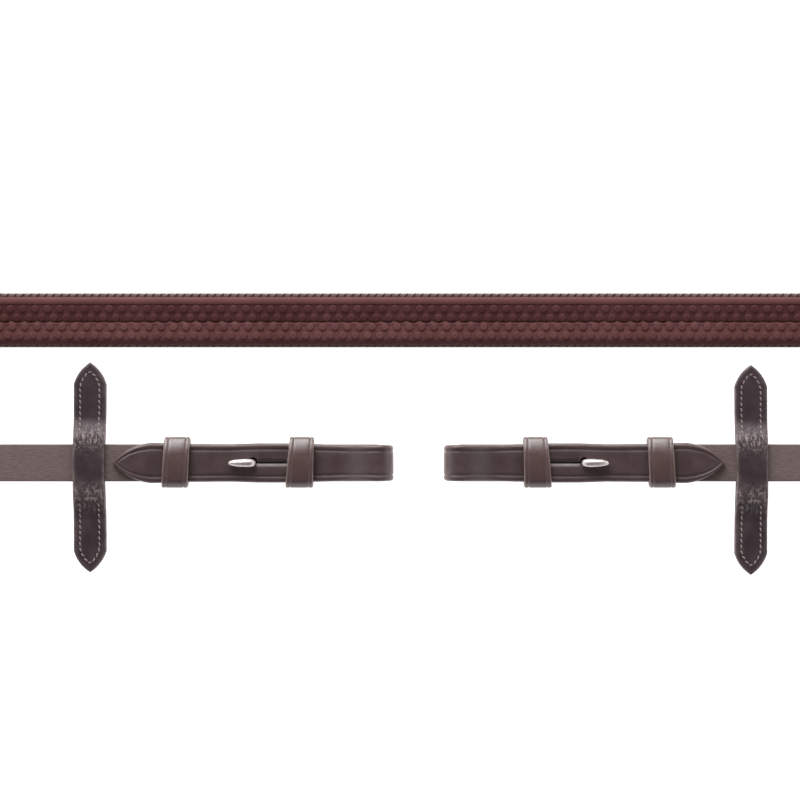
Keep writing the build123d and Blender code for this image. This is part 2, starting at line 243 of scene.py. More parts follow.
class Mesh:
    """Vertices, faces, texture positions and named weights, gathered from many small parts."""

    def __init__(self):
        self.points, self.faces, self.uv = [], [], []
        self.weights = {}
        self.count = 0

    def add(self, points, faces, uv, **weights):
        points = np.asarray(points, float).reshape(-1, 3)
        for name in sorted(self.weights.keys() | weights.keys()):
            parts = self.weights.setdefault(name, [np.zeros(self.count)])
            parts.append(np.resize(np.asarray(weights.get(name, 0.0), float), len(points)))
        self.points.append(points)
        self.uv.append(np.asarray(uv, float).reshape(-1, 2))
        self.faces += [[i + self.count for i in face] for face in faces]
        self.count += len(points)

    def tape(self, frames, rings, along, loop=False, **weights):
        """Skin through one ring of (across, out) points at each section."""
        origins, across, out = (np.asarray(f, float) for f in frames)
        rings = np.asarray(rings, float)
        n, m = len(origins), rings.shape[-2]
        rings = np.broadcast_to(rings, (n, m, 2))
        points = origins[:, None] + across[:, None] * rings[..., :1] + out[:, None] * rings[..., 1:]
        faces = skin(n, m, loop)
        if not loop:
            faces += [list(range(m)), list(range(n * m - 1, n * m - m - 1, -1))]
        girth = travelled(rings[n // 2])
        uv = np.stack(np.broadcast_arrays(np.asarray(along, float)[:, None], girth[None]), -1)
        spread = {k: np.broadcast_to(np.asarray(w, float), (n, m)) for k, w in weights.items()}
        self.add(points, faces, uv, **spread)

    def make(self, name, look, sharp=45):
        mesh = bpy.data.meshes.new(name)
        mesh.from_pydata((np.concatenate(self.points) * MM).tolist(), [], self.faces)
        uv = np.concatenate(self.uv) * MM
        corners = np.zeros(len(mesh.loops), np.int32)
        mesh.loops.foreach_get("vertex_index", corners)
        mesh.uv_layers.new(name="Leather").data.foreach_set("uv", uv[corners].astype(np.float32).ravel())
        for key, parts in self.weights.items():
            values = np.concatenate(parts).astype(np.float32)
            mesh.attributes.new(key, "FLOAT", "POINT").data.foreach_set("value", values)
        piece = add_object(name, mesh)
        bpy.context.view_layer.objects.active = piece
        bpy.ops.object.select_all(action="DESELECT")
        piece.select_set(True)
        bpy.ops.object.mode_set(mode="EDIT")
        bpy.ops.mesh.select_all(action="SELECT")
        bpy.ops.mesh.remove_doubles(threshold=0.000004)
        bpy.ops.mesh.normals_make_consistent(inside=False)
        bpy.ops.object.mode_set(mode="OBJECT")
        mesh.shade_smooth()
        mesh.set_sharp_from_angle(angle=math.radians(sharp))
        mesh.materials.append(materials[look])
        return piece

    def show(self, name, look, body, *nodes, sharp=45):
        """Makes the piece that stands for some CAD nodes and moves with their body."""
        stand_for(self.make(name, look, sharp), body, *nodes)


def cut(piece, outline, origin, x_axis, y_axis, depth):
    """Takes a hole out of a piece: an outline in a plane, drawn out both ways square to it."""
    x_axis, y_axis = np.asarray(x_axis, float), np.asarray(y_axis, float)
    normal = np.cross(x_axis, y_axis)
    flat = [np.asarray(origin) + x_axis * x + y_axis * y for x, y in outline]
    n = len(flat)
    ends = [list(range(n)), list(range(2 * n - 1, n - 1, -1))]
    prism = Mesh()
    points = [p + normal * way for way in (-depth, depth) for p in flat]
    prism.add(points, skin(2, n) + ends, np.zeros((2 * n, 2)))
    cutter = prism.make("cutter", "thread")
    modifier = piece.modifiers.new("cut", "BOOLEAN")
    modifier.operation = "DIFFERENCE"
    modifier.solver = "EXACT"
    modifier.object = cutter
    bpy.context.view_layer.objects.active = piece
    bpy.ops.object.modifier_apply(modifier=modifier.name)
    bpy.data.objects.remove(cutter)


# ---- Leather cross-sections ----
def edge_drop(inset, radius):
    """How far a rounded edge lies below its face."""
    short = np.clip(radius - inset, 0, radius)
    return radius - np.sqrt(radius**2 - short**2)


class Profile:
    """Cross-section of a leather strip: creased grain face at -out, flesh face at +out.

    insets gives the grain face's points by their distance from the edge, if the crease doesn't set them.
    """

    def __init__(
        self, half, thickness, crease=2.7, depth=0.27, width=0.56,
        grain_round=1.5, flesh_round=0.45, insets=None,
    ):
        self.half, self.thickness = half, thickness
        self.crease, self.depth, self.crease_width = crease, depth, width
        self.grain_round, self.flesh_round = grain_round, flesh_round
        self.grain = np.array(insets or self.creased_insets())
        self.flesh = np.array([0.0, 0.1, 0.3, 0.6, half * 0.5])

    def creased_insets(self):
        """Points close together at the edge and across the crease, and far apart elsewhere."""
        spacing = (-2.2, -1.4, -0.8, -0.35, 0.0, 0.35, 0.8, 1.4, 2.2)
        lip = [self.crease + self.crease_width * k for k in spacing]
        near = [d for d in (0.0, 0.12, 0.35, 0.7, 1.1) if d < lip[0]]
        across = [d for d in lip if 0 < d < self.half]
        far = [d for d in (self.crease + 1.8, self.crease + 3.4) if d < self.half - 0.3]
        return sorted({*near, *across, *far})

    def grain_out(self, inset):
        groove = self.depth * bell(inset - self.crease, self.crease_width)
        return -self.thickness / 2 + edge_drop(inset, self.grain_round) + groove

    def flesh_out(self, inset):
        return self.thickness / 2 - edge_drop(inset, self.flesh_round)

    def ring(self, spread=None, middle=None, pinch=1.0):
        """Points round the strip.

        spread(inset) is the half-width there, middle the inset at the centre, and pinch brings the
        crease nearer to the edge.
        """
        spread = spread or (lambda inset: self.half - inset)
        middle = self.half if middle is None else middle
        grain = [(max(0.0, spread(d * pinch)), self.grain_out(min(d, middle / pinch))) for d in self.grain]
        flesh = [(max(0.0, spread(d)), self.flesh_out(min(d, middle))) for d in self.flesh]
        ring = [(-a, o) for a, o in grain] + [(0.0, self.grain_out(middle / pinch))] + grain[::-1]
        return ring + flesh + [(0.0, self.flesh_out(middle))] + [(-a, o) for a, o in flesh[::-1]]

    def weights(self):
        """Per ring point: nearness to the edge, to the crease, and whether it is on the flesh side."""
        inset = [*self.grain, self.half, *self.grain[::-1], *self.flesh, self.half, *self.flesh[::-1]]
        inset = np.array(inset)
        flesh = np.arange(len(inset)) > 2 * len(self.grain)
        crease = bell(inset - self.crease, 0.3) * (1 - flesh)
        return {"edge": np.exp(-inset / 0.5), "crease": crease, "flesh": flesh.astype(float)}


def pointed(x, half, length, point, radius):
    """Spread and centre inset at x of a strip whose sides run to a point at x = length along two arcs."""
    shoulder = length - point
    chord = math.hypot(point, half)
    rise = math.sqrt(max(0.0, radius**2 - chord**2 / 4)) / chord
    centre_x = shoulder + point / 2 - half * rise
    centre_y = half / 2 - point * rise

    def spread(inset):
        reach = (radius - inset) ** 2 - (x - centre_x) ** 2
        curved = math.sqrt(reach) + centre_y if reach > 0 else 0.0
        return min(half - inset, curved) if x > shoulder - 3 * inset else half - inset

    middle = radius - math.hypot(x - centre_x, centre_y)
    return spread, max(0.0, min(half, middle)) if x > shoulder else half


strap_profile = Profile(strap_width / 2, strap_thickness)


def tail_outline(x, length, half):
    """Spread, centre inset and crease pinch of a pointed strap end. The crease closes in on the tip."""
    spread, middle = pointed(x, half, length, tail_point, tail_arc)
    return spread, middle, 1.0 - 0.5 * smooth((x - length + tail_point) / tail_point)


# ---- Straps ----
# Half-width of the worn tail at distances from the fold: wider where the hook and keepers have spread it.
tail_halves = [
    (2.0, 7.75), (7.0, 7.9), (12.0, 7.72), (21.0, 7.8), (31.0, 8.1), (48.0, 8.5),
    (58.0, 8.5), (70.0, 8.1), (86.0, 8.2), (102.0, 8.7), (120.0, 8.75),
]


def bezier(a, b, c, d, count):
    t = np.linspace(0, 1, count)[:, None]
    a, b, c, d = (np.array(p, float) for p in (a, b, c, d))
    return (1 - t) ** 3 * a + 3 * (1 - t) ** 2 * t * b + 3 * (1 - t) * t**2 * c + t**3 * d


def billet_line():
    """Middle of the tail and the fold, from the tip round to the lower ply: distance and height."""
    outer = bit_eye_radius + strap_thickness / 2
    reach = bit_eye_radius + strap_thickness
    middle = flat_height + strap_thickness / 2 + bit_eye_radius
    top = middle + outer
    shoulder = tail_length - tail_point
    tip = [(x, tail_middle) for x in steps(tail_length, shoulder, 0.35)]
    tail = [(x, tail_middle) for x in steps(shoulder, bit_eye_length, 1.5)]
    closing = bezier((bit_eye_length, tail_middle), (17.5, tail_middle), (13.0, top), (reach, top), 24)
    turns = np.radians(np.linspace(90, 270, 25)[1:])
    fold = [(reach + outer * math.cos(t), middle + outer * math.sin(t)) for t in turns]
    return np.array(tip + tail[1:] + closing[1:].tolist() + fold)


def billet_frames(line, side):
    """Frames along a line in the billet's upright plane. The flesh side faces the inside of the fold."""
    direction = unit(np.gradient(line, axis=0))
    across = np.tile([0.0, -1.0, 0.0], (len(line), 1))
    out = np.stack([-side * direction[:, 1], np.zeros(len(line)), direction[:, 0]], -1)
    return at_billet(side, line[:, 0], 0.0, line[:, 1]), across, out


def billet_strap(side_name):
    """Tail, fold, lower ply and the first half of the plain strap, as one strip."""
    side = sides[side_name]
    line = billet_line()
    halves = np.interp(line[:, 0], *zip(*tail_halves))
    rings = [strap_profile.ring(*tail_outline(x, tail_length, half)) for x, half in zip(line[:, 0], halves)]
    stations = steps(7.5, billet_end, 2.0)
    plain = sections([from_fold(side_name, s) for s in stations])
    frames = [np.concatenate(pair) for pair in zip(billet_frames(line, side), plain)]
    rings += [strap_profile.ring()] * len(stations)
    along = travelled(line)
    along = np.concatenate([along, along[-1] + stations - stations[0] + 1.5])
    weights = strap_profile.weights()
    # Painted highlight: the edge weight is raised round the fold end, so the worn colour lightens the
    # fold's roll there.
    turn = np.concatenate([bell(line[:, 0] - 1.2, 1.9), 0 * stations])[:, None]
    weights["edge"] = np.maximum(weights["edge"], 0.95 * turn * (1 - weights["flesh"]))
    strap = Mesh()
    strap.tape(frames, rings, along, **weights)
    piece = strap.make(f"{side_name}_billet_strap", "strap")
    upright = ((1, 0, 0), (0, 1, 0), strap_thickness * 0.7)
    cut(piece, circle(tail_hole_radius), at_billet(side, stud_station - 0.1, 0.6, tail_middle), *upright)
    length, width = tail_slit
    slit = rectangle(-length / 2, length / 2, width / 2)
    cut(piece, slit, at_billet(side, stud_station - length / 2, 0.0, tail_middle), *upright)
    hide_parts(f"{side_name}_end_strap", f"{side_name}_loop_strap")
    ends = [at_billet(side, lift_station + offset, 0.0, flat_height) for offset in (-lift_bend, lift_bend)]
    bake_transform(piece)


def lead_strap(side_name):
    """Plain strap from the middle of the loop to inside the grip."""
    stations = np.array([from_fold(side_name, s) for s in steps(billet_end, lead_end, 2.0)])
    lead = Mesh()
    lead.tape(sections(stations), strap_profile.ring(), stations, **strap_profile.weights())
    piece = lead.make(f"{side_name}_lead_strap", "strap")
    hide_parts(f"{side_name}_rein_strap")
    x, y, heading = plan(swing_stations[side_name])
    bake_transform(piece)


# ---- Hook studs ----
def tube(mesh, line, radii, side_axis, around=20, loop=False):
    """Round bar along a line that lies in the plane square to side_axis."""
    line, radii = np.asarray(line, float), np.asarray(radii, float)
    ahead = np.roll(line, -1, 0) - np.roll(line, 1, 0) if loop else np.gradient(line, axis=0)
    across = np.tile(np.asarray(side_axis, float), (len(line), 1))
    rings = np.array(circle(1.0, around)) * radii[:, None, None]
    mesh.tape((line, across, np.cross(unit(ahead), across)), rings, travelled(line), loop=loop)


def resample(knots, step):
    """Smooth curve through knots of any dimension."""
    knots = np.asarray(knots, float)
    padded = np.vstack([2 * knots[0] - knots[1], knots, 2 * knots[-1] - knots[-2]])
    points = []
    for a, b, c, d in zip(padded, padded[1:], padded[2:], padded[3:]):
        count = max(2, math.ceil(np.linalg.norm((c - b)[:2]) / step))
        slope, bow, twist = c - a, 2 * a - 5 * b + 4 * c - d, 3 * b - a - 3 * c + d
        points += [b + (slope * t + bow * t**2 + twist * t**3) / 2 for t in np.arange(count) / count]
    return np.array(points + [knots[-1]])


# Distance from the fold, height and radius along the hook, from its stem to the blunt point.
hook_knots = [
    (60.6, 5.1, 1.2), (60.6, 8.0, 1.2), (60.4, 9.3, 1.3), (60.6, 10.3, 1.55), (61.7, 10.9, 1.7),
    (63.6, 11.05, 1.75), (66.0, 10.95, 1.66), (68.2, 10.75, 1.42), (69.8, 10.55, 1.06),
    (70.7, 10.42, 0.64), (71.05, 10.38, 0.05),
]


def hook_plate(mesh, side):
    """Flat plate with soft corners under the hook, bevelled above and below."""

    def soft(value):
        return math.copysign(abs(value) ** 0.4, value)

    outline = np.array([(5 * soft(c), 4.5 * soft(s)) for c, s in circle(1.0, 40)])
    heights, scales = np.array([(-0.4, 0.97), (-0.3, 1.0), (0.25, 1.0), (0.38, 0.96)]).T
    centre = at_billet(side, stud_station, 0.0, flat_height + strap_thickness / 2 - 0.45)
    axes = (np.tile(axis, (len(heights), 1)) for axis in ((1.0, 0, 0), (0, 1.0, 0)))
    # painted shade: the plate seen through the tail's hole is coloured near black to stand for the shadow
    # in the hole
    mesh.tape((centre + UP * heights[:, None], *axes), outline * scales[:, None, None], heights, dull=1.0)


def hook_stud(side_name):
    """Teardrop hook on a stem: round over the hole, drawn out to a blunt point along the tail."""
    side, node = sides[side_name], f"{side_name}_hook_stud"
    curve = resample(hook_knots, 0.35)
    stud = Mesh()
    line = at_billet(side, curve[:, 0], 0.0, curve[:, 1])
    tube(stud, line, np.clip(curve[:, 2], 0.02, None), (0, 1, 0))
    hook_plate(stud, side)
    stud.show(f"{node}_form", "steel", f"{side_name}_billet", node, sharp=60)


# ---- Keepers ----
keeper_profile = Profile(5.6, 1.9, crease=1.85, depth=0.26, width=0.22, grain_round=0.7, flesh_round=0.3)
centre_profile = Profile(4.5, 1.9, crease=1.2, depth=0.2, width=0.2, grain_round=0.5, flesh_round=0.3)
billet_face = {"splay": (4.2, 2.0), "drop": 1.7, "top_round": 14.0, "crown": 1.3}
centre_face = {"splay": (1.0, 1.0), "drop": 1.0, "top_round": 1.6, "crown": 0.5}
keeper_leans = {"bit_keeper": (0.55, 0.06), "tip_keeper": (0.57, 0.01)}  # skew and flare


def rounded_path(corners, radii, step=0.35, gap=1.2):
    """Closed polygon with its corners rounded, as points in order."""
    points = []
    count = len(corners)
    for i, radius in enumerate(radii):
        before, here, after = (np.array(corners[(i + k) % count], float) for k in (-1, 0, 1))
        to_before, to_after = unit(before - here), unit(after - here)
        half_angle = math.acos(np.clip(to_before @ to_after, -1, 1)) / 2
        reach = radius / math.tan(half_angle)
        start, end = here + to_before * reach, here + to_after * reach
        arc_steps = max(3, math.ceil((math.pi - 2 * half_angle) * radius / step))
        for t in np.linspace(0, 1, arc_steps + 1):
            points.append((1 - t) ** 2 * start + 2 * t * (1 - t) * here + t**2 * end)
    dense = []
    for a, b in zip(points, points[1:] + points[:1]):
        pieces = max(1, round(np.linalg.norm(b - a) / gap))
        dense += [a + (b - a) * t for t in np.arange(pieces) / pieces]
    return np.array(dense)


def keeper_path(low, high, half_inside, thickness, splay, drop, top_round, crown):
    """Middle of a keeper's leather round the straps, and its half-width across them.

    splay is how far in from each side its face ends, drop how far below the face each side begins,
    top_round the radius of the softer bend between the two, and crown how far the face arches up.
    """
    t = thickness / 2
    wide, top, bottom = half_inside + t, high + t, low - t
    corners = [(wide - splay[0], top), (wide, top - drop), (wide, bottom)]
    corners += [(-wide, bottom), (-wide, top - drop), (splay[1] - wide, top)]
    path = rounded_path(corners, [top_round, 1.3, 1.6, 1.6, 1.3, 2.6])
    arch = np.cos(np.clip(path[:, 0] / wide, -1, 1) * math.pi / 2)
    path[:, 1] += crown * arch * (path[:, 1] > (top + bottom) / 2)
    return path, wide


def keeper_loop(node, body, profile, place, low, high, half_inside, skew, flare, face):
    """Strip bent round the straps. place maps (along, across, out) to the row frame.

    skew leans it along the strap, and flare widens it towards one edge of the strap.
    """
    path, wide = keeper_path(low, high, half_inside, profile.thickness, **face)
    direction = unit(np.roll(path, -1, 0) - np.roll(path, 1, 0))
    origins = np.array([place(-skew * y / wide, y, z) for y, z in path])
    zero = place(0, 0, 0)
    across = np.tile(place(1, 0, 0) - zero, (len(path), 1))
    out = np.array([place(0, dz, -dy) - zero for dy, dz in direction])
    rings = np.tile(np.array(profile.ring()), (len(path), 1, 1))
    rings[..., 0] *= 1.0 - flare * (path[:, 0] / wide)[:, None]
    loop = Mesh()
    loop.tape((origins, across, out), rings, np.arange(len(path)) * 0.5, loop=True, **profile.weights())
    loop.show(f"{node}_loop", "keeper", body, node)


def billet_keeper(side_name, name):
    def place(along, across, out):
        return at_billet(sides[side_name], keeper_stations[name] + along, across + 0.25, out)

    node = f"{side_name}_{name}"
    keeper_loop(node, node, keeper_profile, place, 2.2, 9.15, 9.05, *keeper_leans[name], billet_face)


# ---- Stitches ----
def stitch(mesh, start, end, normal, radius, width=1.5):
    """One stitch: a strand that rises out of the leather, lies on it and goes back in."""
    start, end, normal = (np.asarray(v, float) for v in (start, end, normal))
    share = np.array([0.0, 0.04, 0.2, 0.5, 0.8, 0.96, 1.0])
    lift = np.array([-1.2, -0.1, 0.55, 0.7, 0.55, -0.1, -1.2]) * radius
    thick = np.array([0.6, 0.85, 1.0, 1.05, 1.0, 0.85, 0.6]) * radius
    line = start + (end - start) * share[:, None] + normal * lift[:, None]
    across = unit(np.cross(normal, unit(end - start)))
    frames = (line, np.tile(across, (len(share), 1)), np.tile(normal, (len(share), 1)))
    rings = np.array(circle(1.0, 8)) * (width, 1.0) * thick[:, None, None]
    mesh.tape(frames, rings, share * np.linalg.norm(end - start))


def stitch_row(mesh, points, normals, pitch, radius, lean=0.0, share=0.72, width=1.5):
    """Stitches at an even pitch along a line. lean turns each one a little off the line."""
    lengths = travelled(points)

    def at(values, distance):
        return np.array([np.interp(distance, lengths, column) for column in np.transpose(values)])

    count = int(lengths[-1] / pitch)
    spare = (lengths[-1] - count * pitch) / 2
    for i in range(count):
        middle = spare + (i + 0.5) * pitch
        a, b = (at(points, middle + side * pitch * share / 2) for side in (-1, 1))
        normal = unit(at(normals, middle))
        offset = np.cross(normal, b - a) * lean
        stitch(mesh, a - offset / 2, b + offset / 2, normal, radius, width)


# ---- Rein stops ----
stop_thickness = 2.0
stop_low = 2.2  # top of the lower leaf
stop_seam = 2.3  # underside of the upper leaf on the wings
stop_bridge = 5.8  # and where it crosses the strap
bridge_half, bridge_foot = 10.2, 22.0  # where that raised part ends, and where its slope does
stop_bend = (12.5, 4.5)  # where the leather wears as it bends down: distance from the middle, and spread
stop_stitch_inset, stop_stitch_start = 2.95, 15.0
# The stops have no crease: it lies beyond their middle and has no depth.
stop_profile = Profile(
    stop_width / 2, stop_thickness, crease=30.0, depth=0.0, grain_round=0.9, flesh_round=0.3,
    insets=[0.0, 0.12, 0.35, 0.7, 1.3, 2.0, 2.45, 2.9, 3.35, 3.9, 5.2],
)


def stop_half(y):
    """Half-width: a little narrower over the strap than at the wings."""
    return stop_profile.half - 0.35 * bell(y, 17.0)


def stop_outline(y):
    """Spread and centre inset at y across the strap."""
    return pointed(abs(y), stop_half(y), stop_length / 2, stop_point, stop_arc)


def stop_height(y):
    """Middle of the upper leaf: low on both wings, raised over the strap."""
    rise = smooth((bridge_foot - abs(y)) / (bridge_foot - bridge_half))
    return stop_seam + stop_thickness / 2 + (stop_bridge - stop_seam) * rise


def wing_rows(start, point_step):
    """Distances across the strap from start to the tip of a wing, closer together along its point."""
    tip = stop_length / 2
    shoulder = tip - stop_point
    return np.concatenate([steps(start, shoulder, 1.0), steps(shoulder, tip, point_step)[1:]])


def stop_middle(side_name, y):
    """Middle of a stop at y across the strap. It bows a little away from the fold where it crosses."""
    along = stop_stations[side_name] + 0.5 * bell(y, 16.0)
    return at_billet(sides[side_name], along, y - stop_shifts[side_name], 0.0)


def stop_leaf(side_name, upper):
    half = wing_rows(0, 0.3)
    ys = np.concatenate([-half[:0:-1], half])
    heights = np.array([stop_height(y) if upper else stop_low - stop_thickness / 2 for y in ys])
    origins = [stop_middle(side_name, y) + UP * h for y, h in zip(ys, heights)]
    face = unit(np.stack([0 * ys, -np.gradient(heights, ys), np.ones(len(ys))], -1))
    across = np.tile([1.0, 0.0, 0.0], (len(ys), 1))
    weights = stop_profile.weights()
    place, spread = stop_bend
    weights["bend"] = bell(np.abs(ys) - place, spread)[:, None] * (1 - weights["flesh"]) * upper
    leaf = Mesh()
    rings = [stop_profile.ring(*stop_outline(y)) for y in ys]
    leaf.tape((origins, across, -face if upper else face), rings, ys, **weights)
    name = "stop_front" if upper else "stop_back"
    leaf.show(f"{side_name}_{name}_leaf", "stop", f"{side_name}_stop", f"{side_name}_{name}")


def stop_stitch_line():
    """Where the thread runs round one wing: up one edge, round the point and back."""
    edge = []
    for y in wing_rows(stop_stitch_start, 0.2):
        x = stop_outline(y)[0](stop_stitch_inset)
        if x <= 0:
            break
        edge.append((x, y))
    return [(-x, y) for x, y in edge] + edge[::-1]


def stop_stitches(side_name):
    stop = f"{side_name}_stop"
    thread = Mesh()
    for wing in (-1, 1):
        for face, radius in ((1, 0.19), (-1, 0.14)):
            points, normals = [], []
            for x, y in stop_stitch_line():
                height, slope = stop_low - stop_thickness, 0.0
                if face > 0:
                    height = stop_height(y) + stop_thickness / 2
                    slope = (stop_height(y + 0.1) - stop_height(y - 0.1)) / 0.2 * wing
                points.append(stop_middle(side_name, wing * y) + np.array([x, 0.0, height]))
                normals.append(unit(np.array([0.0, -slope, 1.0]) * face))
            stitch_row(thread, points, normals, 2.45, radius, lean=0.25, share=0.7)
    thread.show(f"{stop}_thread", "pale_thread", stop, f"{stop}_stitching")


# ---- Grips ----
seam_across = -0.45
seam_top, seam_bottom = 0.8, -2.5
seam_pitch, seam_start = 5.655, 4.5
seam_slide = 0.42  # how far each stitch drags the seam sideways
# The raised lip and the groove beside it: place from the seam, width, and height or depth.
seam_lip, seam_groove = (-1.0, 0.55, 0.32), (-0.28, 0.27, 0.55)
edge_pitch = 3.3
edge_stitch_ends = [(-0.8, 10.15, 1.14), (0.8, 11.55, 0.58)]  # along, across and out
dot_pitch, dot_radius, dot_sides = 5.33, 1.68, 14
# Each row of dots: its distance across the grip, and how far along it starts, in pitches.
dot_rows = [(4.8, 0.49), (1.0, 0.0), (-2.95, 0.67), (-6.65, 0.31)]
# Share of a dot's radius, and height over the channel, from its foot to the flat top.
dot_levels = [(1.0, -0.25), (1.0, 0.24), (0.96, 0.36), (0.86, 0.45), (0.45, 0.47)]
# Distance across and height of the rubber's raised borders, from the edge to the channels.
upper_border = [
    (9.65, 0.3), (9.9, 0.9), (10.0, 1.5), (9.9, 2.1), (9.65, 2.6), (9.25, 2.97), (8.8, 3.22),
    (8.3, 3.38), (7.8, 3.47), (7.3, 3.5), (7.0, 3.46), (6.8, 3.38), (6.65, 3.22),
]
lower_border = [
    (-10.5, 0.3), (-10.8, 0.9), (-10.72, 1.5), (-10.4, 2.0), (-9.9, 2.5), (-9.25, 2.9), (-8.6, 3.12),
    (-7.9, 3.2),
]
channel_edge, channel_high, channel_low = 7.7, 3.25, 1.85
rubber_underside = 0.25
# Half of the backing's outline, to the middle of its underside: across, out, wear and crease.
backing_half = [
    (9.2, 0.2, 0.3, 0), (9.4, 0.95, 0.8, 0), (10.1, 1.2, 1, 0), (10.8, 1.22, 1, 0), (11.3, 0.95, 1, 0),
    (11.62, 0.3, 1, 0), (11.7, -0.5, 0.8, 0), (11.6, -1.4, 0.4, 0), (11.3, -2.5, 0.2, 0),
    (10.8, -3.25, 0.1, 0), (10.1, -3.7, 0, 0), (9.3, -3.62, 0, 0.5), (9.0, -3.5, 0, 1),
    (8.75, -3.65, 0, 0.5), (8.2, -3.9, 0, 0), (6.0, -3.97, 0, 0), (3.0, -3.98, 0, 0), (0, -3.98, 0, 0),
]


def grip_span(side_name):
    return sorted(from_fold(side_name, s) for s in (grip_start, grip_start + grip_length))


def end_taper(stations, span, length=7.0, least=0.62):
    """Share of the grip's thickness: less close to its two ends."""
    near = np.minimum(stations - span[0], span[1] - stations)
    return np.array([least + (1 - least) * smooth(n / length) ** 0.5 for n in near])


def tapered(profile, stations, span):
    """One copy of a profile for each station."""
    rings = np.tile(np.array(profile), (len(stations), 1, 1))
    rings[..., 1] *= end_taper(stations, span)[:, None]
    return rings


def channel_out(across):
    """Height of the dimpled channels, which dip towards the seam."""
    share = np.clip(abs(across - seam_across) / channel_edge, 0, 1)
    return channel_low + (channel_high - channel_low) * share**0.8


def rubber_halves(rubber, span):
    """The two halves of the rubber, which stop short of the seam."""
    stations = steps(*span, 2.5)
    for border, first, last, count in (
        (upper_border, 6.6, seam_top, 8), (lower_border, -7.4, seam_bottom, 7)
    ):
        channel = [(a, channel_out(a)) for a in np.linspace(first, last, count)]
        half = border + channel + [(last, rubber_underside)]
        # rim: weight of a painted highlight that lightens the upper border, the side that faces the light
        rim = [smooth((a - 6.65) / 0.6) for a, _ in half]
        # painted shade: darkens the lower border's slope, the side turned away from the light
        shade = [smooth((-a - 8.9) / 0.8) for a, _ in half]
        rubber.tape(sections(stations), tapered(half, stations, span), stations, rim=rim, shade=shade)


def rubber_seam(rubber, side_name, span):
    """Strip between the halves, scalloped where each stitch pulls the rubber down."""
    stations = steps(*span, 0.45)
    lines = [seam_top - seam_across, 1.0, 0.75, 0.5, 0.25, 0.0, -0.25, -0.5, -0.8, -1.15, -1.6]
    lines = np.array(lines + [seam_bottom - seam_across])
    phase = (stations - span[0] - seam_start) / seam_pitch % 1.0
    pull = np.sin(math.pi * (phase**1.25 if side_name == "left" else 1 - (1 - phase) ** 1.25))[:, None]
    place, width, height = seam_lip
    lip = height * bell(lines - place, width) * (0.45 + 0.55 * pull)
    place, width, depth = seam_groove
    groove = bell(lines - place, width) * (0.05 + depth * pull)
    across = lines + seam_across + seam_slide * (0.5 - pull) * bell(lines, 1.1)
    out = (channel_out(lines + seam_across) + lip - groove) * end_taper(stations, span)[:, None]
    under = np.tile([(seam_bottom, rubber_underside), (seam_top, rubber_underside)], (len(stations), 1, 1))
    # the seam weight marks the groove for a painted shade that darkens it
    seam = np.zeros(len(lines) + 2)
    seam[3:8] = 1.0
    rings = np.concatenate([np.stack([across, out], -1), under], 1)
    rubber.tape(sections(stations), rings, stations, seam=seam)


def dot(mesh, station, across, taper):
    """One moulded pimple: a flat-topped button that stands on the channel."""
    origin, side_axis, out = section(station)
    ahead = section(station + 0.5)[0] - origin
    along = unit(ahead - out * (ahead @ out))
    points = []
    for scale, height in dot_levels:
        for x, y in circle(dot_radius * scale, dot_sides):
            rise = (channel_out(across + x) + height) * taper
            points.append(origin + side_axis * (across + x) + out * rise + along * y)
    top = (channel_out(across) + dot_levels[-1][1]) * taper
    points.append(origin + side_axis * across + out * top)
    faces = skin(len(dot_levels), dot_sides)
    rim = len(points) - 1 - dot_sides
    faces += [[rim + i, rim + (i + 1) % dot_sides, len(points) - 1] for i in range(dot_sides)]
    mesh.add(points, faces, np.tile([station, across], (len(points), 1)))


def grip_rubber(side_name):
    span = grip_span(side_name)
    rubber = Mesh()
    rubber_halves(rubber, span)
    rubber_seam(rubber, side_name, span)
    for across, offset in dot_rows:
        for station in np.arange(span[0] + 4.0 + offset * dot_pitch, span[1] - 4.0, dot_pitch):
            dot(rubber, station, across, end_taper(np.array([station]), span)[0])
    rubber.show(f"{side_name}_grip_rubber_face", "rubber", "reins", f"{side_name}_grip_rubber", sharp=40)


def grip_leather(side_name):
    """Backing that wraps up to the edge on both sides and shows as a margin beside the rubber."""
    span = grip_span(side_name)
    stations = steps(*span, 0.55)
    half = np.array(backing_half)
    across, out, edge, crease = np.concatenate([half, half[-2::-1] * (-1, 1, 1, 1)]).T
    # Each stitch draws the margin down, and the edge swells out level with it.
    bulge = (0.5 - 0.5 * np.cos(2 * math.pi * (stations - span[0]) / edge_pitch))[:, None]
    rings = tapered(np.stack([across, out], -1), stations, span)
    rings[..., 0] -= 0.05 * np.sign(across) * edge * (1 - bulge)
    rings[..., 1] -= 0.22 * bell(np.abs(across) - 10.8, 0.5) * (out > 0) * bulge
    backing = Mesh()
    backing.tape(sections(stations), rings, stations, edge=edge, crease=crease)
    backing.show(f"{side_name}_grip_leather_back", "backing", "reins", f"{side_name}_grip_leather")


def edge_stitch(mesh, station, side):
    """Short slanted strand that runs from beside the rubber down over the rounded edge."""
    ends = []
    for along, across, height in edge_stitch_ends:
        origin, side_axis, out = section(station + along * side)
        ends.append(origin + side_axis * side * across + out * height)
    stitch(mesh, *ends, unit(out + side_axis * side * 0.45), 0.31, width=1.3)


def grip_edge_stitches(side_name):
    span = grip_span(side_name)
    thread = Mesh()
    for side in (-1, 1):
        for station in np.arange(span[0] + edge_pitch, span[1] - 2, edge_pitch):
            edge_stitch(thread, station, side)
    thread.show(f"{side_name}_grip_edge_thread", "dark_thread", "reins", f"{side_name}_grip_edge_stitching")


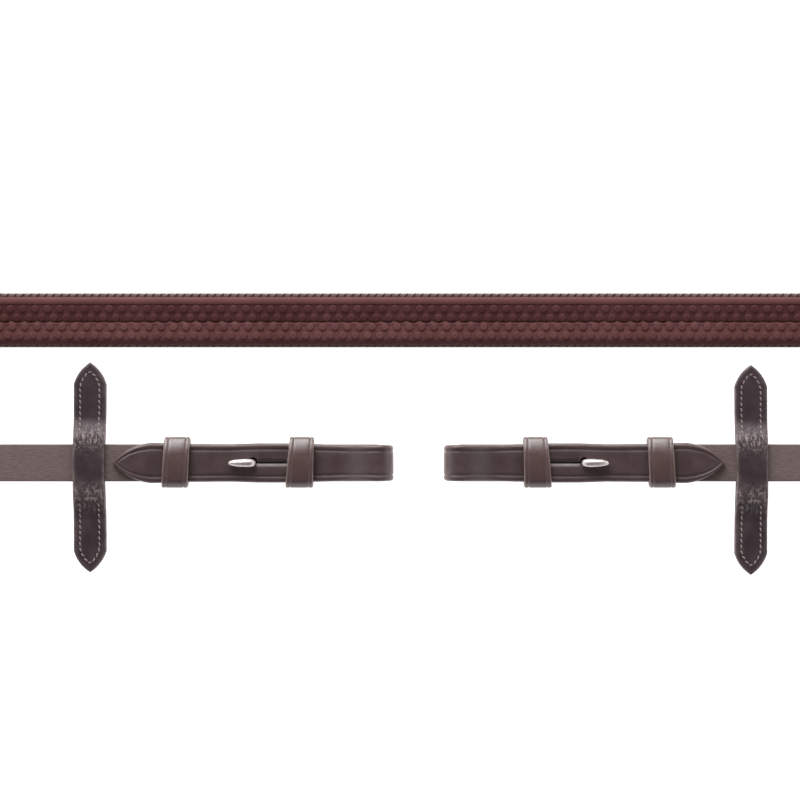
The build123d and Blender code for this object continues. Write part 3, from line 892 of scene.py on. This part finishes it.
def grip_seam_stitches(side_name):
    """Thread at the bottom of the seam, one stitch to each scallop."""
    span = grip_span(side_name)
    thread = Mesh()
    for station in np.arange(span[0] + seam_start + seam_pitch / 2, span[1] - 3, seam_pitch):
        ends = []
        for offset in (-2.3, 2.3):
            origin, side_axis, out = section(station + offset)
            ends.append(origin + side_axis * (seam_across - 0.3) + out * 1.2)
        stitch(thread, *ends, section(station)[2], 0.25)
    thread.show(f"{side_name}_grip_seam_thread", "dark_thread", "reins", f"{side_name}_grip_seam_stitching")


# ---- Centre buckle ----
centre_origin, centre_y, centre_z = section(rein_length)
centre_x = np.cross(centre_y, centre_z)
centre_end = 1140.0  # stations where the strips at the buckle start and end, inside the grips
centre_start = 1600.0
tab_reach = 78.0
tab_bend_end = 26.0
tab_lie, tab_crest = -3.15, -5.05
tab_slot = (5.3, 10.4, 3.0)
tab_holes, tab_hole_radius = (-30.0, 34.0), 1.8
buckle_across, buckle_along, buckle_down = 10.2, 13.5, 6.0
buckle_bar, prong_radius, prong_ring = 1.5, 1.2, 2.184
# The turned-back end at the buckle: along the strap, out of its inner face, and thickness.
chape_knots = [
    (-13.0, 0.0, 3.0), (-8.0, -0.25, 2.7), (-4.0, -1.5, 2.1), (-1.5, -2.4, 1.8), (1.3, -2.25, 1.75),
    (2.6, 0.0, 1.75), (1.3, 2.25, 1.75), (-1.5, 2.65, 1.7), (-6.0, 2.45, 1.7), (-20.0, 2.4, 1.65),
    (-44.0, 2.38, 1.6), (-47.0, 2.15, 1.1), (-48.0, 1.95, 0.6),
]


def at_centre(x, y, z):
    """Point from the buckle's own frame: x along the strap, y across it, z out of its inner face."""
    return centre_origin + centre_x * x + centre_y * y + centre_z * z


def tab_height(x):
    """How far the right strap lies from the strap's line: over the bar, and back to it on both sides."""
    if x < 0:
        return tab_lie + (tab_crest - tab_lie) * smooth((x + 9.0) / 9.0)
    return tab_crest * (1 - smooth(x / tab_bend_end))


def left_centre_strap():
    """Left strap from the grip to the buckle, round its bar and back along the inner face."""
    curve = resample(chape_knots, 0.8)
    direction = unit(np.gradient(curve[:, :2], axis=0))
    origins = [at_centre(x, 0, z) for x, z in curve[:, :2]]
    out = [centre_x * -dz + centre_z * dx for dx, dz in direction]
    chape = (origins, np.tile(centre_y, (len(curve), 1)), out)
    stations = steps(centre_end, rein_length - 14.0, 2.5)
    frames = [np.concatenate(pair) for pair in zip(sections(stations), chape)]
    thickness = np.concatenate([np.full(len(stations), strap_thickness), curve[:, 2]]) / strap_thickness
    rings = np.tile(np.array(strap_profile.ring()), (len(thickness), 1, 1))
    rings[..., 1] *= thickness[:, None]
    along = np.concatenate([stations, stations[-1] + 1.0 + np.arange(len(curve)) * 0.8])
    strap = Mesh()
    strap.tape(frames, rings, along, **strap_profile.weights())
    piece = strap.make("left_centre_strap", "strap")
    cut(piece, rectangle(-3.3, 5.0, 2.0), centre_origin, centre_x, centre_y, 5.0)
    stand_for(piece, "reins", "left_rein_strap")


def right_centre_strap():
    """Right strap from its pointed tab, through the buckle, to inside its grip."""
    first = rein_length - tab_reach
    shoulder = first + tail_point
    stations = np.concatenate([steps(first, shoulder, 0.35), steps(shoulder, centre_start, 1.5)[1:]])
    rings = []
    for s in stations:
        outline = tail_outline(rein_length - s, tab_reach, strap_profile.half)
        rings.append([(a, o + tab_height(s - rein_length)) for a, o in strap_profile.ring(*outline)])
    strap = Mesh()
    strap.tape(sections(stations), rings, stations, **strap_profile.weights())
    piece = strap.make("right_centre_strap", "strap")
    middle, length, width = tab_slot
    slot = [(x + math.copysign((length - width) / 2, x), y) for x, y in circle(width / 2)]
    cut(piece, slot, at_centre(middle, 0, tab_height(middle)), centre_x, centre_y, 3.0)
    for x in tab_holes:
        cut(piece, circle(tab_hole_radius), at_centre(x, 0, tab_height(x)), centre_x, centre_y, 2.2)
    stand_for(piece, "reins", "right_rein_strap")


def buckle_frame():
    """Oblong of round bar with soft corners. Its heel bar is the pivot."""
    lean = math.atan2(-buckle_down, buckle_along)
    corners = rectangle(0, math.hypot(buckle_along, buckle_down), buckle_across)
    path = rounded_path(corners, [0.8, 3.0, 3.0, 0.8], 0.3)
    line = [at_centre(x * math.cos(lean), y, x * math.sin(lean)) for x, y in path]
    normal = centre_x * -math.sin(lean) + centre_z * math.cos(lean)
    buckle = Mesh()
    tube(buckle, line, np.full(len(line), buckle_bar), normal, loop=True)
    buckle.show("buckle_frame_bar", "steel", "buckle_frame", "buckle_frame", sharp=60)


def buckle_prong():
    """Flat ring round the heel bar, drawn out into a round tongue that lies on the far bar."""
    rest = buckle_bar + prong_radius + 0.1
    angle = math.atan2(buckle_down, buckle_along) + math.asin(rest / math.hypot(buckle_along, buckle_down))
    direction = centre_x * math.cos(angle) - centre_z * math.sin(angle)
    upright = centre_x * math.sin(angle) + centre_z * math.cos(angle)
    prong = Mesh()
    ring = [centre_origin + direction * x + upright * y for x, y in circle(prong_ring, 28)]
    tube(prong, ring, np.full(len(ring), 0.6), centre_y, around=12, loop=True)
    tip_turn, tip_shrink = (np.linspace(low, high, 7) * math.pi / 2 for low, high in ((0, 1), (0.05, 0.99)))
    xs = np.concatenate([np.linspace(2.3, 16.8, 24), 17.0 + prong_radius * np.sin(tip_turn)])
    radii = np.concatenate([np.linspace(1.05, prong_radius, 24), prong_radius * np.cos(tip_shrink)])
    tube(prong, [centre_origin + direction * x for x in xs], radii, centre_y, around=16)
    prong.show("buckle_prong_bar", "steel", "buckle_prong", "buckle_prong", sharp=60)


def centre_keeper(node, station, body):
    def place(along, across, out):
        return at_centre(station + along, across, -out)

    keeper_loop(node, body, centre_profile, place, -3.5, 4.95, 8.3, 0.2, 0.0, centre_face)


def chape_stitches():
    thread = Mesh()
    for y in (-5.1, 5.1):
        points = [at_centre(x, y, 3.22) for x in (-44.0, -30.0, -10.0)]
        stitch_row(thread, points, [centre_z] * 3, 2.9, 0.12, lean=0.1, width=2.0)
    thread.show("chape_thread", "pale_thread", "reins", "chape_stitching")


# ---- Materials ----
def rgb(r, g, b):
    return (r, g, b, 1.0)


class Nodes:
    """A node tree and short ways of adding to it."""

    def __init__(self, tree):
        self.tree = tree

    def add(self, kind, inputs=None, **settings):
        node = self.tree.nodes.new(kind)
        for key, value in settings.items():
            setattr(node, key, value)
        for key, value in (inputs or {}).items():
            self.set(node.inputs[key], value)
        return node

    def set(self, socket, value):
        if isinstance(value, bpy.types.NodeSocket):
            self.tree.links.new(value, socket)
        else:
            socket.default_value = value

    def math(self, operation, a, b, clamp=False):
        return self.add("ShaderNodeMath", {0: a, 1: b}, operation=operation, use_clamp=clamp).outputs[0]

    def times(self, a, b):
        return self.math("MULTIPLY", a, b)

    def levels(self, value, low, high, to_low=0.0, to_high=1.0):
        inputs = {0: value, 1: low, 2: high, 3: to_low, 4: to_high}
        return self.add("ShaderNodeMapRange", inputs, interpolation_type="SMOOTHSTEP").outputs[0]


class Shader(Nodes):
    """A surface material and the patterns it is made of."""

    def __init__(self, name):
        self.material = bpy.data.materials.new(name)
        self.material.use_nodes = True
        super().__init__(self.material.node_tree)
        self.uv = self.add("ShaderNodeUVMap", uv_map="Leather").outputs[0]

    def stretched(self, along, across):
        """Texture position with its own scale along the strap and across it, in repeats per metre."""
        return self.add("ShaderNodeMapping", {"Vector": self.uv, "Scale": (along, across, 1.0)}).outputs[0]

    def noise(self, scale, detail=3.0, rough=0.55, where=None):
        inputs = {"Vector": where or self.uv, "Scale": scale, "Detail": detail, "Roughness": rough}
        return self.add("ShaderNodeTexNoise", inputs).outputs[0]

    def cells(self, scale):
        inputs = {"Vector": self.uv, "Scale": scale}
        return self.add("ShaderNodeTexVoronoi", inputs, feature="DISTANCE_TO_EDGE").outputs[0]

    def weight(self, name):
        return self.add("ShaderNodeAttribute", attribute_name=name).outputs["Fac"]

    def mix(self, share, a, b):
        return self.add("ShaderNodeMix", {0: share, 6: a, 7: b}, data_type="RGBA").outputs[2]

    def bump(self, height, distance, strength, below=None):
        inputs = {"Height": height, "Distance": distance * MM, "Strength": strength}
        if below is not None:
            inputs["Normal"] = below
        return self.add("ShaderNodeBump", inputs).outputs[0]

    def finish(self, colour, roughness, normal, **others):
        others = {key.replace("_", " "): value for key, value in others.items()}
        inputs = {"Base Color": colour, "Roughness": roughness, "Normal": normal, **others}
        for key, value in inputs.items():
            self.set(self.tree.nodes["Principled BSDF"].inputs[key], value)
        return self.material


flesh_tan, flesh_pale = rgb(0.105, 0.075, 0.070), rgb(0.15225, 0.10875, 0.1015)


def leather(name, dark, light, worn_and_fold_highlight, gloss, grain_size=0.5, polish=0.0):
    """Grain side with fine pores, mottling, pale worn edges and a painted highlight at the strap's fold
    end, painted shade in the creases, and a matte flesh side.
    """
    s = Shader(name)
    mottle = s.levels(s.noise(90, 4.0, 0.6), 0.35, 0.68)
    streaks = s.levels(s.noise(1.0, 3.0, 0.6, s.stretched(60, 420)), 0.35, 0.7)
    fine = s.noise(2600, 2.0, 0.6)
    colour = s.mix(s.times(mottle, 0.7), dark, light)
    colour = s.mix(s.times(streaks, 0.35), colour, light)
    # painted shade: the crease weight darkens the grain along the crease grooves
    colour = s.mix(s.times(s.weight("crease"), 0.35), colour, dark)
    # edge weight: real edge wear, plus the painted highlight at the strap's fold end
    edge_wear_and_fold_highlight = s.times(s.weight("edge"), s.levels(s.noise(260), 0.3, 0.75, 0.25, 1.0))
    scuffs = s.math("MAXIMUM", s.noise(650, 4.0, 0.7), s.noise(1.0, 4.0, 0.7, s.stretched(240, 900)))
    bend_wear = s.times(s.weight("bend"), s.levels(scuffs, 0.5, 0.64))
    wear_and_fold_highlight = s.math("ADD", edge_wear_and_fold_highlight, bend_wear, clamp=True)
    colour = s.mix(s.times(wear_and_fold_highlight, 0.75), colour, worn_and_fold_highlight)
    fibres = s.levels(s.noise(1.0, 4.0, 0.7, s.stretched(350, 1500)), 0.3, 0.75)
    flesh = s.weight("flesh")
    colour = s.mix(flesh, colour, s.mix(s.times(fibres, 0.9), flesh_tan, flesh_pale))
    matte = s.math("MAXIMUM", flesh, s.times(s.weight("bend"), 0.6))
    roughness = s.levels(mottle, 0.0, 1.0, gloss - 0.05, gloss + 0.08)
    roughness = s.math("ADD", roughness, s.times(matte, 0.35))
    grain = s.bump(s.levels(s.cells(1000 / grain_size), 0.0, 0.25), 0.035, 0.5)
    grain = s.bump(fine, 0.03, 0.5, grain)
    grain = s.bump(s.noise(160), 0.25, 0.25, grain)
    grain = s.bump(s.times(fibres, flesh), 0.09, 0.8, grain)
    coat = s.times(s.math("SUBTRACT", 1.0, flesh), polish)
    return s.finish(colour, roughness, grain, Specular_IOR_Level=0.4, Coat_Weight=coat, Coat_Roughness=0.36)


def rubber_material():
    s = Shader("rubber")
    clouds = s.levels(s.noise(45, 4.0, 0.6), 0.35, 0.7)
    fine = s.noise(1500, 3.0, 0.6)
    colour = s.mix(clouds, rgb(0.068, 0.018, 0.018), rgb(0.089, 0.028, 0.029))
    colour = s.mix(s.times(s.levels(fine, 0.45, 0.7), 0.3), colour, rgb(0.115, 0.046, 0.044))
    for part, share, tint in (
        # rim tint: painted highlight, a lighter colour on the upper border where the light falls
        ("rim", 0.3, rgb(0.095, 0.033, 0.031)),
        # painted shade: darker colour on the lower border's slope, which faces away from the light
        ("shade", 0.7, rgb(0.055, 0.016, 0.016)),
        # seam tint: painted shade, darker rubber in the seam groove
        ("seam", 0.15, rgb(0.045, 0.014, 0.014)),
    ):
        colour = s.mix(s.times(s.weight(part), share), colour, tint)
    normal = s.bump(fine, 0.05, 0.6)
    normal = s.bump(s.noise(260, 2.0), 0.12, 0.4, normal)
    return s.finish(colour, s.levels(fine, 0.3, 0.7, 0.58, 0.7), normal, Specular_IOR_Level=0.2)


def thread_material(name, colour, pale):
    s = Shader(name)
    inputs = {"Vector": s.stretched(1.0, 0.8), "Scale": 900.0, "Distortion": 1.5}
    twist = s.add("ShaderNodeTexWave", inputs, bands_direction="DIAGONAL").outputs["Fac"]
    tone = s.mix(s.times(twist, 0.7), colour, pale)
    return s.finish(tone, 0.62, s.bump(twist, 0.06, 0.7), Specular_IOR_Level=0.3)


def steel_material():
    s = Shader("steel")
    scratches = s.noise(1.0, 3.0, 0.7, s.stretched(1500, 6000))
    tone = s.mix(s.levels(s.noise(500), 0.4, 0.7), rgb(0.68, 0.61, 0.59), rgb(0.50, 0.45, 0.44))
    # painted shade: near-black tone on the hook plate, standing for the shadow inside the hole
    tone = s.mix(s.weight("dull"), tone, rgb(0.02, 0.015, 0.015))
    roughness = s.levels(scratches, 0.3, 0.7, 0.36, 0.5)
    return s.finish(tone, roughness, s.bump(scratches, 0.012, 0.4), Metallic=1.0)


# Dark, light and worn colours of each leather (the worn colour also paints the highlight at the strap's
# fold end), then its gloss, grain size and polish.
leathers = {
    "strap": (rgb(0.050, 0.029, 0.030), rgb(0.070, 0.043, 0.044), rgb(0.2, 0.14, 0.135), 0.38, 0.5, 0.1),
    "keeper": (rgb(0.056, 0.028, 0.027), rgb(0.083, 0.046, 0.043), rgb(0.3, 0.22, 0.19), 0.37, 0.6, 0.6),
    "stop": (rgb(0.026, 0.015, 0.019), rgb(0.046, 0.029, 0.033), rgb(0.3, 0.24, 0.23), 0.46, 0.6),
    "backing": (rgb(0.050, 0.029, 0.027), rgb(0.070, 0.044, 0.041), rgb(0.155, 0.086, 0.071), 0.5),
}
threads = {
    "pale_thread": (rgb(0.19, 0.14, 0.14), rgb(0.34, 0.27, 0.27)),
    "dark_thread": (rgb(0.022, 0.012, 0.011), rgb(0.048, 0.029, 0.027)),
    "thread": (rgb(0.1, 0.07, 0.07), rgb(0.2, 0.15, 0.15)),
}
materials = {name: leather(f"{name}_leather", *look) for name, look in leathers.items()}
materials |= {name: thread_material(name, *look) for name, look in threads.items()}
materials |= {"rubber": rubber_material(), "steel": steel_material()}


# ---- Stage ----
# A room with a dark ceiling and bright walls, brightest behind the grip. Lengths here are metres.
overhead_light = 0.15
overhead_from, overhead_to = 0.25, 0.6
wall_light, wall_bias = 0.9, 0.5
side_light = 1.2
sun_strength, sun_spread = 1.65, 28.0
sun_height, sun_turn = 36.0, 21.0
softbox_size = (2.4, 0.8)
softbox_place = (-0.3, 2.3, 0.95)
softbox_power = 66.0
floor_half, floor_height, floor_glow = 40.0, -0.0002, 0.9
view_width, view_middle = 0.344, (-0.0080, -0.0343, 0.005)


def floor():
    mesh = bpy.data.meshes.new("floor")
    corners = rectangle(-floor_half, floor_half, floor_half)
    mesh.from_pydata([(x, y, floor_height) for x, y in corners], [], [(0, 1, 2, 3)])
    piece = add_object("floor", mesh)
    material = bpy.data.materials.new("floor")
    material.use_nodes = True
    looks = {
        "Base Color": rgb(0.93, 0.93, 0.93),
        "Roughness": 0.9,
        "Specular IOR Level": 0.1,
        "Emission Color": rgb(1, 1, 1),
        "Emission Strength": floor_glow,
    }
    for key, value in looks.items():
        material.node_tree.nodes["Principled BSDF"].inputs[key].default_value = value
    mesh.materials.append(material)


def room():
    """Light from all round, and plain white where the camera sees past the floor."""
    world = bpy.data.worlds.new("studio")
    world.use_nodes = True
    bpy.context.scene.world = world
    bpy.context.scene.view_settings.view_transform = "Standard"
    n = Nodes(world.node_tree)
    direction = n.add("ShaderNodeTexCoord").outputs["Generated"]
    split = n.add("ShaderNodeSeparateXYZ", {0: direction}).outputs
    low = n.levels(split["Z"], overhead_from, overhead_to, 1.0, 0.0)
    walls = n.math("ADD", n.times(split["Y"], wall_bias), wall_light)
    sky = n.math("ADD", n.times(walls, low), overhead_light)
    sideways = n.math("POWER", n.math("ABSOLUTE", split["X"], 0.0), 3.0)
    sky = n.math("ADD", sky, n.times(sideways, side_light))
    seen = n.add("ShaderNodeLightPath").outputs["Is Camera Ray"]
    background = n.tree.nodes["Background"].inputs
    n.set(background["Color"], rgb(1, 1, 1))
    n.set(background["Strength"], n.math("MAXIMUM", sky, seen))


def lights():
    sun = bpy.data.lights.new("key", "SUN")
    sun.energy = sun_strength
    sun.angle = math.radians(sun_spread)
    add_object("key", sun).rotation_euler = (math.radians(sun_height - 90), 0, math.radians(sun_turn))
    box = bpy.data.lights.new("softbox", "AREA")
    box.shape = "RECTANGLE"
    box.size, box.size_y = softbox_size
    box.energy = softbox_power
    holder = add_object("softbox", box)
    holder.location = softbox_place
    holder.rotation_euler = (-Vector(softbox_place)).to_track_quat("-Z", "Y").to_euler()


def camera():
    """Straight above the billets and the grip, from far away, so that the straps stay true to size."""
    view = bpy.data.cameras.new("camera")
    view.sensor_width = 36.0
    view.lens = 200.0
    view.clip_end = 200.0
    holder = add_object("camera", view)
    x, y, z = view_middle
    holder.location = (x, y, z + view_width * view.lens / view.sensor_width)
    bpy.context.scene.camera = holder


# ---- Everything ----
for side_name in sides:
    billet_strap(side_name)
    lead_strap(side_name)
    hook_stud(side_name)
    for name in keeper_stations:
        billet_keeper(side_name, name)
    for upper in (True, False):
        stop_leaf(side_name, upper)
    stop_stitches(side_name)
    grip_rubber(side_name)
    grip_leather(side_name)
    grip_edge_stitches(side_name)
    grip_seam_stitches(side_name)
    back_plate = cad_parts[f"{side_name}_hook_back_plate"]
    back_plate.data.materials.clear()
    back_plate.data.materials.append(materials["steel"])
left_centre_strap()
right_centre_strap()
buckle_frame()
buckle_prong()
centre_keeper("buckle_keeper", -17.0, "reins")
centre_keeper("buckle_runner", -54.0, "buckle_runner")
chape_stitches()
floor()
room()
lights()
camera()
